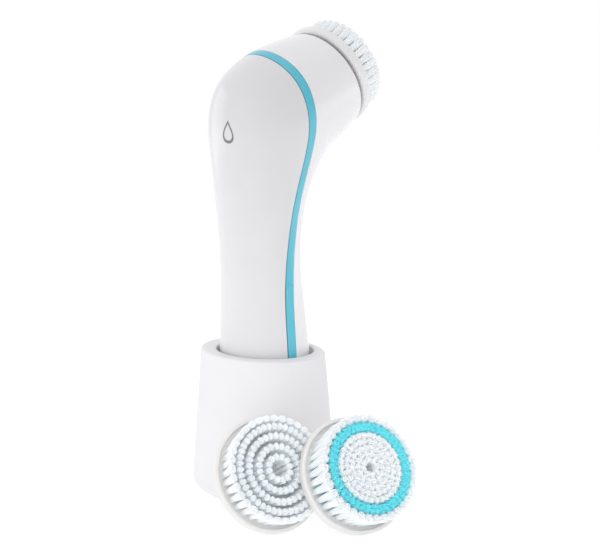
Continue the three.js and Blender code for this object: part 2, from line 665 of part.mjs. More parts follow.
function buildHeads() {
  const brushDirection = direction(0, BRUSH_ELEVATION);
  const mountedAt = NECK_CENTRE.clone().addScaledVector(brushDirection, HEAD_STANDOFF);
  const mounted = axisGroup(mountedAt, brushDirection);
  headBase("brush_base", mounted);
  tuftRing("brush_outer_tufts", ...OUTER_TUFTS, "bristle", mounted, TUFT_TIP);
  tuftRing("brush_inner_tufts", 1.5, 18.9, "bristle", mounted, TUFT_TIP);

  const spares = [SPARE_A, SPARE_B].map(({ at, azimuth, elevation }) =>
    axisGroup(
      new THREE.Vector3(...at),
      direction(azimuth, THREE.MathUtils.degToRad(elevation)),
    ),
  );
  headBase("spare_a_base", spares[0]);
  SPARE_A_RINGS.forEach((radius, i) => {
    const [inner, outer] = [radius - 1.3, radius + 1.3];
    tuftRing(`spare_a_tufts_${i + 1}`, inner, outer, "bristle", spares[0], SPARE_A.tip);
  });
  tuftRing("spare_a_tufts_outer", ...OUTER_TUFTS, "bristle", spares[0], SPARE_A.tip);

  headBase("spare_b_base", spares[1]);
  tuftRing("spare_b_tufts_centre", 1.5, 14.4, "bristle", spares[1], SPARE_B.tip);
  tuftRing("spare_b_tufts_teal", 14.8, 18.3, "accentBristle", spares[1], SPARE_B.tip);
  tuftRing("spare_b_tufts_outer", 18.7, OUTER_TUFTS[1], "bristle", spares[1], SPARE_B.tip);
}

buildStand();
buildCasing();
buildInside();
buildDrive(axisGroup(NECK_CENTRE, direction(0, BRUSH_ELEVATION)));
buildHeads();

export default brush;
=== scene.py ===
"""A facial cleansing brush in its charging stand, with two spare brush heads beside it.

The CAD model is the frame. The pieces that show are remade here with finer surfaces, rounded
edges and separate bristles, from the same dimensions in millimetres and in the same place.
"""
import json
import math

import bpy
import numpy as np
from mathutils import Matrix, Vector


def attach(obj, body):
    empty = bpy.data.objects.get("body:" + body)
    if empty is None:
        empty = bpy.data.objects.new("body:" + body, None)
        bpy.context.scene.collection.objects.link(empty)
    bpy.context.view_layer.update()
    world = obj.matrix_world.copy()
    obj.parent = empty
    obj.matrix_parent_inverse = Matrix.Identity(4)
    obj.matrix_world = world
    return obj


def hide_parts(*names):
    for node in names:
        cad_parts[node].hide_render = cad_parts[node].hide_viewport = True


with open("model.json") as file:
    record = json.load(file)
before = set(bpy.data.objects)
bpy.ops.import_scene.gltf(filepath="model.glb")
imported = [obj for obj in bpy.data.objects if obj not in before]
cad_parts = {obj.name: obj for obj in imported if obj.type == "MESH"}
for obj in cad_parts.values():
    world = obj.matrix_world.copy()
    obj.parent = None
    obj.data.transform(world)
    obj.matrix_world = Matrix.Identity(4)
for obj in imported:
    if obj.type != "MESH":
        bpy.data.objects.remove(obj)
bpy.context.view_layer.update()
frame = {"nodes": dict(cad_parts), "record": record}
MM = 0.001

# ---------------------------------------------------------------- dimensions, millimetres
GAP = 0.3

STAND_HEIGHT = 63.5
STAND_TOP = (32, 24.5)
STAND_FOOT = (38.5, 28.5)
STAND_LIFT = 0.8
STAND_WALL = 2
WELL = (24, 20.2)
WELL_SHIFT = -1.5
WELL_FLOOR = 13.7
INLET_Z = 8
INLET_HOLE = 4.6

# Handle sections: middle line Y and Z, half width, half depth, degrees tipped forwards.
HANDLE_STATIONS = [
    (-1.5, 14, 21.5, 17.5, 0),
    (-1.5, 45, 22.5, 19.5, 0),
    (-1, 73.5, 22.5, 18, -1.5),
    (1, 100.5, 20.5, 14.5, 1),
    (1, 128.5, 20, 19, 12),
    (-0.5, 148, 22, 25.5, 23),
    (-3, 161.5, 23.5, 30.4, 34),
    (-13.4, 172.1, 24, 28.6, 45.5),
    (-26.9, 178.1, 24, 26, 55.5),
    (-35.8, 182.6, 23.4, 23.4, 58.7),
]
HANDLE_WALL = 2
CASING_INSIDE = 2.2  # from the casing's outer face to well clear of its inner one
CASING_LIP = 0.35  # radius of the rounded edges of the casing's pieces

# The line in the plane X = 0 along which the casing parts: Y and Z.
PARTING_STATIONS = [
    (0.8, 4), (0.8, 36), (0.9, 64), (2.2, 88), (0, 110), (-4, 129),
    (-9, 146), (-11, 160), (-8.6, 172), (-4.8, 183), (1.5, 192.5), (12, 206),
]
BAND_WIDTH = 4.1

NECK_CENTRE = (0, -35.8, 182.6)
BRUSH_ELEVATION = 31.3
NECK_RADIUS = 23.4
HEAD_RADIUS = 24
HEAD_RIM = 4.1
HEAD_FLOOR = 1.6
TUFT_TIP = 14.7
HUB_RADIUS = 6.5
HUB_LENGTH = 6
SOCKET_CORNER = 3.6
SOCKET_DEPTH = 6.4
HEAD_STANDOFF = 2
SPARE_A = ((-37.2, 29.1, 20.3), 261, 29.5)
SPARE_A_TIP = 14.2
SPARE_B = ((-61.2, 3.8, 20.3), 259.6, 29.8)
SPARE_B_TIP = 17

BUTTON_Z = 104
BUTTON_RADIUS = 6.5
LIGHT_Z = 116
LIGHT_HOLE = 1.6
LIGHT_RADIUS = 1.3
MARK_PLACE = (0.5725, math.radians(105))  # share of the handle length, angle round it

AROUND = 144  # points round a turned surface, a multiple of six
OVAL_AROUND = 160  # points round the stand and the handle's end cap

# The camera: degrees round from +Y, down and rolled, place in metres, lens in millimetres.
CAMERA_ANGLES = (228.85, 8.18, -0.3)
CAMERA_PLACE = (-0.3534, 0.2861, 0.1615)
CAMERA_LENS = 62


# ---------------------------------------------------------------- materials
def finish(
    name, color, roughness, metallic=0.0, coat=0.0, sheen=0.0, ior=1.46,
    tint=0.03, tint_scale=60.0, grain_scale=2500.0, grain=0.02, streaks=0.0,
):
    """A procedural finish. The colour drifts by tint over blotches, the roughness drifts with
    it, and a fine grain stands grain millimetres proud. streaks draws it out along Z."""
    material = bpy.data.materials.new(name)
    material.use_nodes = True
    nodes, links = material.node_tree.nodes, material.node_tree.links
    shader = nodes["Principled BSDF"]
    shader.inputs["Metallic"].default_value = metallic
    shader.inputs["IOR"].default_value = ior
    shader.inputs["Coat Weight"].default_value = coat
    shader.inputs["Coat Roughness"].default_value = 0.08
    shader.inputs["Sheen Weight"].default_value = sheen

    place = nodes.new("ShaderNodeTexCoord")
    source = place.outputs["Object"]
    if streaks:
        stretch = nodes.new("ShaderNodeMapping")
        stretch.inputs["Scale"].default_value = (1, 1, 1 / streaks)
        links.new(source, stretch.inputs["Vector"])
        source = stretch.outputs["Vector"]

    blotch = nodes.new("ShaderNodeTexNoise")
    blotch.inputs["Scale"].default_value = tint_scale
    blotch.inputs["Detail"].default_value = 3
    links.new(source, blotch.inputs["Vector"])
    ramp = nodes.new("ShaderNodeValToRGB")
    ramp.color_ramp.elements[0].position = 0.3
    ramp.color_ramp.elements[1].position = 0.7
    ramp.color_ramp.elements[0].color = (*[c * (1 - tint) for c in color], 1)
    ramp.color_ramp.elements[1].color = (*[min(1, c * (1 + tint)) for c in color], 1)
    links.new(blotch.outputs["Fac"], ramp.inputs["Fac"])
    links.new(ramp.outputs["Color"], shader.inputs["Base Color"])

    spread = nodes.new("ShaderNodeMapRange")
    spread.inputs["To Min"].default_value = roughness * 0.85
    spread.inputs["To Max"].default_value = min(1, roughness * 1.15)
    links.new(blotch.outputs["Fac"], spread.inputs["Value"])
    links.new(spread.outputs["Result"], shader.inputs["Roughness"])

    fine = nodes.new("ShaderNodeTexNoise")
    fine.inputs["Scale"].default_value = grain_scale
    fine.inputs["Detail"].default_value = 2
    links.new(source, fine.inputs["Vector"])
    bump = nodes.new("ShaderNodeBump")
    bump.inputs["Strength"].default_value = 0.35
    bump.inputs["Distance"].default_value = grain * MM
    links.new(fine.outputs["Fac"], bump.inputs["Height"])
    links.new(bump.outputs["Normal"], shader.inputs["Normal"])
    return material


GLOSSY = dict(coat=0.3, tint=0.012, grain_scale=900, grain=0.004)
NYLON = dict(sheen=0.3, grain=0.004)

# Colour, roughness and the other settings of each finish.
LOOKS = {
    # The rear cover and the front shell are one white plastic: the cover is painted darker as painted
    # shade, and the shell lighter as painted light, for how the light falls on each side.
    "white_cover_painted_shade": ((0.695, 0.695, 0.713), 0.22, GLOSSY),
    "white_shell": ((0.795, 0.79, 0.815), 0.22, GLOSSY),
    "white_stand": ((0.77, 0.76, 0.775), 0.5, dict(ior=1.25, tint=0.012, grain_scale=900, grain=0.004)),
    "white_head": ((0.80, 0.79, 0.80), 0.3, dict(coat=0.2, tint=0.012, grain_scale=1500, grain=0.006)),
    # Painted shadow: the neck plate is painted near black to stand in for the shade in the gap behind
    # the mounted head.
    "neck_painted_shadow": ((0.10, 0.07, 0.08), 0.5, dict(tint=0.05, grain_scale=1500, grain=0.01)),
    "teal_trim": ((0.105, 0.50, 0.635), 0.28, dict(coat=0.2, grain_scale=1500, grain=0.004)),
    "white_base": ((0.765, 0.752, 0.74), 0.36, dict(tint=0.015, grain_scale=1500, grain=0.01)),
    "bristle_white": ((0.965, 0.982, 0.996), 0.5, dict(NYLON, tint=0.01, tint_scale=700)),
    "bristle_teal": ((0.24, 0.92, 0.99), 0.5, dict(NYLON, tint=0.05, tint_scale=900)),
    "grey_plastic": ((0.42, 0.43, 0.46), 0.5, dict(grain_scale=1200, grain=0.03)),
    "dark_rubber": ((0.045, 0.045, 0.05), 0.75, dict(tint=0.12, grain_scale=1600, grain=0.05)),
    "circuit_board": (
        (0.04, 0.26, 0.13), 0.4, dict(tint=0.25, tint_scale=350, grain_scale=500, grain=0.03),
    ),
    "black_plastic": ((0.03, 0.03, 0.034), 0.42, dict(tint=0.1, grain_scale=1600)),
    "copper_winding": (
        (0.72, 0.36, 0.18),
        0.3,
        dict(metallic=1, tint=0.12, tint_scale=500, grain_scale=700, grain=0.06, streaks=0.1),
    ),
    "ferrite": ((0.07, 0.07, 0.08), 0.65, dict(tint=0.15, grain_scale=900, grain=0.05)),
    "steel": (
        (0.70, 0.71, 0.73), 0.28, dict(metallic=1, tint=0.04, grain_scale=900, grain=0.01, streaks=8),
    ),
    "brass": (
        (0.76, 0.57, 0.24), 0.3, dict(metallic=1, tint=0.05, grain_scale=900, grain=0.01, streaks=0.2),
    ),
    "gear_nylon": ((0.84, 0.80, 0.68), 0.45, dict(grain_scale=1000)),
    "battery_wrap": (
        (0.10, 0.34, 0.19), 0.35, dict(tint=0.05, tint_scale=40, grain_scale=300, grain=0.03),
    ),
    "clear_lens": ((0.80, 0.90, 0.97), 0.12, dict(coat=0.5, tint=0.02, grain_scale=900, grain=0.003)),
    "red_wire": ((0.50, 0.03, 0.03), 0.45, dict(tint=0.08, grain_scale=900)),
    "black_wire": ((0.02, 0.02, 0.022), 0.45, dict(tint=0.1, grain_scale=900)),
    "print_grey": ((0.20, 0.20, 0.21), 0.45, dict(tint=0.06, grain=0.01)),
}
MATERIALS = {
    name: finish(name, color, roughness, **settings)
    for name, (color, roughness, settings) in LOOKS.items()
}


# ---------------------------------------------------------------- meshes
def settle(obj, body, slot, replaces=(), material=None):
    """The piece rides on a body, takes a slot's finish, and stands for CAD nodes."""
    obj.data.materials.append(MATERIALS[material or slot])
    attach(obj, body)
    if replaces:
        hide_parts(*replaces)


def smooth_by_area(mesh):
    """Each vertex takes the mean of its faces' normals by area, so that a flat face beside a
    small round stays flat."""
    count = len(mesh.polygons)
    normals = np.zeros(count * 3)
    areas = np.zeros(count)
    totals = np.zeros(count, int)
    corners = np.zeros(len(mesh.loops), int)
    mesh.polygons.foreach_get("normal", normals)
    mesh.polygons.foreach_get("area", areas)
    mesh.polygons.foreach_get("loop_total", totals)
    mesh.loops.foreach_get("vertex_index", corners)
    weighted = np.repeat(normals.reshape(-1, 3) * areas[:, None], totals, axis=0)
    sums = np.zeros((len(mesh.vertices), 3))
    np.add.at(sums, corners, weighted)
    lengths = np.linalg.norm(sums, axis=1, keepdims=True)
    return sums / np.maximum(lengths, 1e-12)


def make_object(name, points, faces, normals=None):
    mesh = bpy.data.meshes.new(name)
    mesh.from_pydata((np.asarray(points, float) * MM).tolist(), [], faces)
    mesh.shade_smooth()
    if normals is None:
        normals = smooth_by_area(mesh)
    mesh.normals_split_custom_set_from_vertices(np.asarray(normals).tolist())
    obj = bpy.data.objects.new(name, mesh)
    bpy.context.scene.collection.objects.link(obj)
    return obj


def skin(rings):
    """Points and faces of a closed surface through rings of equal length. A ring of one point
    is a pole. The rings run anticlockwise seen from the end towards which they go."""
    points, faces, starts = [], [], []
    for one in rings:
        starts.append(len(points))
        points.extend(np.atleast_2d(one))
    sizes = [len(np.atleast_2d(one)) for one in rings]
    for k in range(len(rings) - 1):
        low, high = starts[k], starts[k + 1]
        count = max(sizes[k], sizes[k + 1])
        for i in range(count):
            j = (i + 1) % count
            if sizes[k] == 1:
                faces.append((low, high + j, high + i))
            elif sizes[k + 1] == 1:
                faces.append((low + i, low + j, high))
            else:
                faces.append((low + i, low + j, high + j, high + i))
    return np.array(points), faces


def rounded(corners, steps=5):
    """An outline from (x, y) or (x, y, radius) corners, with the given corners rounded."""
    outline = []
    for i, corner in enumerate(corners):
        here = np.array(corner[:2], float)
        if len(corner) < 3 or i in (0, len(corners) - 1):
            outline.append(here)
            continue
        before = np.array(corners[i - 1][:2], float) - here
        after = np.array(corners[i + 1][:2], float) - here
        before_length, after_length = np.linalg.norm(before), np.linalg.norm(after)
        before, after = before / before_length, after / after_length
        half = math.acos(max(-1, min(1, before @ after))) / 2
        reach = min(corner[2] / math.tan(half), 0.49 * before_length, 0.49 * after_length)
        radius = reach * math.tan(half)
        middle = here + (before + after) / np.linalg.norm(before + after) * radius / math.sin(half)
        start, end = here + before * reach - middle, here + after * reach - middle
        sweep = math.acos(max(-1, min(1, (start @ end) / radius**2)))
        for step in range(steps + 1):
            share = step / steps
            weights = math.sin((1 - share) * sweep), math.sin(share * sweep)
            outline.append(middle + (weights[0] * start + weights[1] * end) / math.sin(sweep))
    return outline


def circle(radius, height, count=AROUND):
    angles = np.arange(count) * 2 * math.pi / count
    return np.stack([radius * np.cos(angles), radius * np.sin(angles), np.full(count, height)], -1)


def hexagon(corner, height):
    """A six-sided ring with its corners on the ring's own points."""
    angles = np.arange(AROUND) * 2 * math.pi / AROUND
    reach = corner * math.cos(math.pi / 6) / np.cos(angles % (math.pi / 3) - math.pi / 6)
    return np.stack([reach * np.cos(angles), reach * np.sin(angles), np.full(AROUND, height)], -1)


def turned(outline):
    """Rings of a solid of revolution from (radius, height) points."""
    return [
        np.array([0, 0, height]) if radius < 1e-6 else circle(radius, height)
        for radius, height in outline
    ]


def oval(a, b, height, middle=0.0):
    """A level ring with half widths a along X and b along Y, about Y = middle."""
    return circle(1, height, OVAL_AROUND) * (a, b, 1) + (0, middle, 0)


def axis_matrix(origin, azimuth, elevation):
    """The frame whose Z is a brush head's axis and whose X is level, in millimetres."""
    a, e = math.radians(azimuth), math.radians(elevation)
    along = Vector((math.sin(a) * math.cos(e), -math.cos(a) * math.cos(e), math.sin(e)))
    level = Vector((0, 0, 1)).cross(along).normalized()
    up = along.cross(level)
    matrix = Matrix((level, up, along)).transposed().to_4x4()
    matrix.translation = Vector(origin)
    return np.array(matrix)


def front_matrix(height):
    """The frame at this height whose Z points to the object's front, in millimetres."""
    matrix = np.array(Matrix.Rotation(math.pi / 2, 4, "X"))
    matrix[2, 3] = height
    return matrix


def moved(points, matrix):
    return np.asarray(points) @ matrix[:3, :3].T + matrix[:3, 3]


NECK = axis_matrix(NECK_CENTRE, 0, BRUSH_ELEVATION)
MOUNTED = NECK.copy()
MOUNTED[:3, 3] += NECK[:3, 2] * HEAD_STANDOFF


# ---------------------------------------------------------------- handle casing
def spline(stations, t):
    """Values on a uniform cubic B-spline that runs from the first station to the last."""
    stations = np.array(stations, float)
    spans = len(stations) - 1
    padded = np.vstack(
        [2 * stations[0] - stations[1], stations, 2 * stations[-1] - stations[-2]]
    )
    place = np.asarray(t, float) * spans
    span = np.clip(np.floor(place).astype(int), 0, spans - 1)
    u = (place - span)[..., None]
    weights = [
        (1 - u) ** 3 / 6,
        (3 * u**3 - 6 * u**2 + 4) / 6,
        (-3 * u**3 + 3 * u**2 + 3 * u + 1) / 6,
        u**3 / 6,
    ]
    return sum(weight * padded[span + k] for k, weight in enumerate(weights))


def casing_point(places):
    """Points of the handle's surface at places (t along the handle, angle round it)."""
    t, angle = places[:, 0], places[:, 1]
    y, z, wide, deep, tipped = spline(HANDLE_STATIONS, t).T
    tilt = np.radians(tipped)
    out = deep * np.sin(angle)
    return np.stack([wide * np.cos(angle), y + out * np.cos(tilt), z + out * np.sin(tilt)], -1)


def casing_normal(places):
    step = 1e-4
    along = casing_point(places + (step, 0)) - casing_point(places - (step, 0))
    round_it = casing_point(places + (0, step)) - casing_point(places - (0, step))
    normals = np.cross(round_it, along)
    return normals / np.linalg.norm(normals, axis=1, keepdims=True)


PARTING_LINE = spline(PARTING_STATIONS, np.linspace(0, 1, 161))


def parting_distance(places):
    """How far the surface lies behind the parting line, or in front of it where negative."""
    start, step = PARTING_LINE[:-1], np.diff(PARTING_LINE, axis=0)
    found = []
    for part in np.array_split(casing_point(places)[:, 1:], 1 + len(places) // 3000):
        offset = part[:, None] - start
        share = np.clip((offset * step).sum(-1) / (step * step).sum(-1), 0, 1)
        offset = offset - share[..., None] * step
        length = np.linalg.norm(offset, axis=-1)
        nearest = length.argmin(1)
        rows = np.arange(len(part))
        near, along = offset[rows, nearest], step[nearest]
        side = np.sign(near[:, 0] * along[:, 1] - near[:, 1] * along[:, 0])
        found.append(length[rows, nearest] * side)
    return np.concatenate(found)


def outside_hole(radius, height):
    """Positive outside a round hole that runs into the handle's front along Y."""
    far = 50  # what the handle's back gets, where the hole doesn't reach

    def distance(places):
        x, y, z = casing_point(places).T
        return np.where(y > 0, far, np.hypot(x, z - height) - radius)

    return distance


def clipped(places, faces, inside_of):
    """The part of a net of places where inside_of is positive, cut along its zero line. Net
    points that lie near the line move on to it, so that the cut leaves no thin faces."""
    near = 0.25  # share of an edge within which a net point moves
    places = places.copy()
    inside = inside_of(places) > 0
    edges = {}
    for face in faces:
        for a, b in zip(face, (*face[1:], face[0])):
            if inside[a] != inside[b]:
                edges[(a, b) if inside[a] else (b, a)] = None
    pairs = np.array(list(edges))
    low, high = np.zeros(len(pairs)), np.ones(len(pairs))
    start, step = places[pairs[:, 0]], places[pairs[:, 1]] - places[pairs[:, 0]]
    for _ in range(20):
        middle = (low + high) / 2
        kept = inside_of(start + middle[:, None] * step) > 0
        low, high = np.where(kept, middle, low), np.where(kept, high, middle)
    crossing = start + low[:, None] * step
    on_line = {}
    for (a, b), share, place in zip(pairs.tolist(), low, crossing):
        if share < near:
            on_line.setdefault(a, place)
        elif share > 1 - near:
            on_line.setdefault(b, place)
    for vertex, place in on_line.items():
        places[vertex] = place
    added = {}
    for (a, b), place in zip(pairs.tolist(), crossing):
        if a not in on_line and b not in on_line:
            added[a, b] = len(places) + len(added)
    new_places = [crossing[k] for k, pair in enumerate(map(tuple, pairs.tolist())) if pair in added]
    places = np.vstack([places, *new_places]) if new_places else places
    kept_faces = []
    for face in faces:
        if all(inside[v] and v not in on_line for v in face):
            kept_faces.append(face)
            continue
        if not any(inside[v] and v not in on_line for v in face):
            continue
        ring = []
        for a, b in zip(face, (*face[1:], face[0])):
            if inside[a] or a in on_line:
                ring.append(a)
            if inside[a] != inside[b]:
                cut = added.get((a, b) if inside[a] else (b, a))
                if cut is not None:
                    ring.append(cut)
        if len(ring) >= 3:
            kept_faces.append(tuple(ring))
    return places, kept_faces


def welded(places, faces):
    """Joins the net's two edges where they meet, and drops what nothing uses."""
    points = casing_point(places)
    _, first, index = np.unique(
        np.round(points, 4), axis=0, return_index=True, return_inverse=True
    )
    index = index.reshape(-1)
    joined = []
    for face in faces:
        ring = [v for k, v in enumerate(index[list(face)]) if v != index[face[k - 1]]]
        if len(set(ring)) >= 3:
            joined.append(tuple(int(v) for v in ring))
    used = np.zeros(len(first), bool)
    used[[v for face in joined for v in face]] = True
    compact = np.cumsum(used) - 1
    return places[first][used], [tuple(int(compact[v]) for v in face) for face in joined]


def edge_loops(faces):
    """The free edges as closed loops of vertices, with the surface on their left."""
    following = {}
    edges = {(a, b) for face in faces for a, b in zip(face, (*face[1:], face[0]))}
    for a, b in edges:
        if (b, a) not in edges:
            following[a] = b
    loops = []
    while following:
        first, here = next(iter(following.items()))
        del following[first]
        loop = [first]
        while here != first:
            loop.append(here)
            here = following.pop(here)
        loops.append(loop)
    return loops


def casing_piece(node, fields, slot, material=None):
    """A piece of the handle's wall where every field is positive, with rounded edges."""
    lip = CASING_LIP
    t_count, angle_count = 230, 152
    first, pace = 0.004, 95  # lowest t, and millimetres to a whole t at the neck's end
    t = np.linspace(first, 1 - lip / pace, t_count)
    angles = np.linspace(-0.5, 1.5, angle_count + 1) * math.pi
    places = np.stack(np.meshgrid(t, angles, indexing="ij"), -1).reshape(-1, 2)
    row = angle_count + 1
    faces = [
        (k * row + i, k * row + i + 1, (k + 1) * row + i + 1, (k + 1) * row + i)
        for k in range(t_count - 1)
        for i in range(angle_count)
    ]
    for field in fields:
        places, faces = clipped(places, faces, field)
    places, faces = welded(places, faces)
    outer, normals = casing_point(places), casing_normal(places)
    count = len(outer)
    points = [outer, outer - normals * HANDLE_WALL]
    shading = [normals, -normals]
    all_faces = list(faces) + [tuple(v + count for v in reversed(face)) for face in faces]
    total = 2 * count
    steps = 5
    for loop in edge_loops(faces):
        edge, normal = outer[loop], normals[loop]
        tangent = np.roll(edge, -1, 0) - np.roll(edge, 1, 0)
        away = np.cross(tangent, normal)
        away /= np.linalg.norm(away, axis=1, keepdims=True)
        rows = [list(loop)]
        for step in range(1, steps + 2):
            turn = min(step / steps, 1) * math.pi / 2
            sunk = lip * (1 - math.cos(turn)) if step <= steps else HANDLE_WALL
            points.append(edge + away * lip * math.sin(turn) - normal * sunk)
            shading.append(normal * math.cos(turn) + away * math.sin(turn))
            rows.append(list(range(total, total + len(loop))))
            total += len(loop)
        rows.append([v + count for v in loop])
        for near, far in zip(rows, rows[1:]):
            for i in range(len(loop)):
                j = (i + 1) % len(loop)
                all_faces.append((near[j], near[i], far[i], far[j]))
    obj = make_object(f"{node}_fine", np.vstack(points), all_faces, np.vstack(shading))
    settle(obj, "handle", slot, [node], material)


def build_casing():
    edge, lip = BAND_WIDTH / 2, CASING_LIP
    behind = [lambda p: parting_distance(p) - edge - GAP / 2 - lip]
    # The rear cover takes a darker copy of the shell's white, as painted shade.
    casing_piece("rear_cover", behind, "white_shell", "white_cover_painted_shade")
    in_front = [
        lambda p: -parting_distance(p) - edge - GAP / 2 - lip,
        outside_hole(BUTTON_RADIUS + GAP + lip, BUTTON_Z),
        outside_hole(LIGHT_HOLE + lip, LIGHT_Z),
    ]
    casing_piece("front_shell", in_front, "white_shell")
    between = [
        lambda p: parting_distance(p) + edge - GAP / 2 - lip,
        lambda p: edge - GAP / 2 - lip - parting_distance(p),
    ]
    casing_piece("trim_band", between, "teal_trim")


build_casing()


def build_mark():
    """A plain printed droplet on the rear cover, in outline, a little proud of the surface."""
    centre = np.array(MARK_PLACE)
    step = 1e-3
    t_scale, angle_scale = (
        np.linalg.norm(casing_point(centre[None] + move) - casing_point(centre[None])) / step
        for move in ((step, 0), (0, step))
    )
    count, half_width, half_height = 96, 4.0, 4.8
    inner, sunk, proud = 0.74, -0.05, 0.06
    turn = np.arange(count) * 2 * math.pi / count
    wide = np.sin(turn) * np.abs(np.sin(turn / 2)) ** 1.5 * half_width
    drop = np.stack([wide, np.cos(turn) * half_height], -1)
    rows = []
    for size, height in ((1, sunk), (1, proud), (inner, proud), (inner, sunk)):
        flat = drop * size - (0, 0.5 * (1 - size))
        places = centre + np.stack([flat[:, 1] / t_scale, flat[:, 0] / angle_scale], -1)
        rows.append(casing_point(places) + casing_normal(places) * height)
    faces = []
    for k in range(len(rows)):
        for i in range(count):
            j = (i + 1) % count
            low, high = count * k, count * ((k + 1) % len(rows))
            faces.append((low + j, low + i, high + i, high + j))
    mark = make_object("droplet_mark", np.vstack(rows), faces)
    settle(mark, "handle", "grey_plastic", material="print_grey")


build_mark()


# ---------------------------------------------------------------- stand
def stand_ring(height, inset):
    share = 1 - (height - STAND_LIFT) / (STAND_HEIGHT - STAND_LIFT)
    a, b = (top + (foot - top) * share - inset for top, foot in zip(STAND_TOP, STAND_FOOT))
    return oval(a, b, height)


def well_ring(height, inset):
    return oval(WELL[0] + inset, WELL[1] + inset, height, WELL_SHIFT)


def cut_inlet(stand):
    """A round hole through the front wall, in front of the charging socket."""
    ends, count = (22, 34), 64  # the cutter's ends in front of the middle, points round it
    caps = [np.array([0, 0, end]) for end in ends]
    edges = [circle(INLET_HOLE, end, count) for end in ends]
    points, faces = skin([caps[0], *edges, caps[1]])
    cutter = make_object("inlet_cutter", moved(points, front_matrix(INLET_Z)), faces)
    cut = stand.modifiers.new("inlet", "BOOLEAN")
    cut.object = cutter
    cut.solver = "EXACT"
    bpy.context.view_layer.update()
    seen = stand.evaluated_get(bpy.context.evaluated_depsgraph_get())
    mesh = bpy.data.meshes.new_from_object(seen)
    stand.modifiers.clear()
    stand.data = mesh
    mesh.set_sharp_from_angle(angle=math.radians(40))
    bpy.data.objects.remove(cutter)
    even = stand.modifiers.new("even_normals", "WEIGHTED_NORMAL")
    even.keep_sharp = True


def build_stand():
    """The cup's skin in one closed surface: up the hollow under it, down inside the outer
    wall, up the outside, over the rim and down the well."""
    wall, top = STAND_WALL, STAND_HEIGHT
    outline = rounded(
        [
            (3.2, 30), (3.2, STAND_LIFT + 1), (3.2, STAND_LIFT), (0, STAND_LIFT, 2.3),
            (0, top, 1.1), (6, top),
        ],
        8,
    )
    outside = [stand_ring(height, inset) for inset, height in outline[1:-1]]
    mouth = rounded([(6, top), (0, top, 0.9), (0, WELL_FLOOR, 1.6), (-8, WELL_FLOOR)], 6)
    inside = [well_ring(height, inset) for inset, height in mouth[1:-1]]
    under = [
        np.array([0, WELL_SHIFT, WELL_FLOOR - wall]),
        well_ring(WELL_FLOOR - wall, wall - 1),
        well_ring(WELL_FLOOR - wall + 1, wall),
        well_ring(top - wall - 1, wall),
        stand_ring(top - wall - 1, wall),
        stand_ring(6, wall),
    ]
    rings = [*under, *outside, *inside, np.array([0, WELL_SHIFT, WELL_FLOOR])]
    points, faces = skin(rings)
    stand = make_object("stand_shell_fine", points, faces)
    cut_inlet(stand)
    settle(stand, "stand", "white_shell", ["stand_shell"], "white_stand")


build_stand()


# ---------------------------------------------------------------- brush heads
GOLDEN_ANGLE = math.pi * (3 - math.sqrt(5))
TUFT_DOME = 0.7  # how much shorter a tuft is at its edge


def head_base(node, matrix, body, material):
    """A round tray with a rounded back, a lip round its floor, and a hub with a six-sided
    socket."""
    r, rim, floor = HEAD_RADIUS, HEAD_RIM, HEAD_FLOOR
    socket = SOCKET_DEPTH - HUB_LENGTH
    outside = rounded(
        [
            (HUB_RADIUS - 2, -HUB_LENGTH), (HUB_RADIUS, -HUB_LENGTH, 0.6), (HUB_RADIUS, 0, 0.6),
            (r, 0, 1.9), (r, rim, 0.5), (r - 1.55, rim, 0.45), (r - 1.8, floor, 0.6), (8, floor),
        ],
        7,
    )
    rings = [
        np.array([0, 0, socket]),
        hexagon(SOCKET_CORNER, socket),
        hexagon(SOCKET_CORNER, 0.35 - HUB_LENGTH),
        hexagon(SOCKET_CORNER + 0.35, -HUB_LENGTH),
        *turned(outside),
        np.array([0, 0, floor]),
    ]
    points, faces = skin(rings)
    base = make_object(f"{node}_fine", moved(points, matrix), faces)
    settle(base, body, "white_base", [node], material)


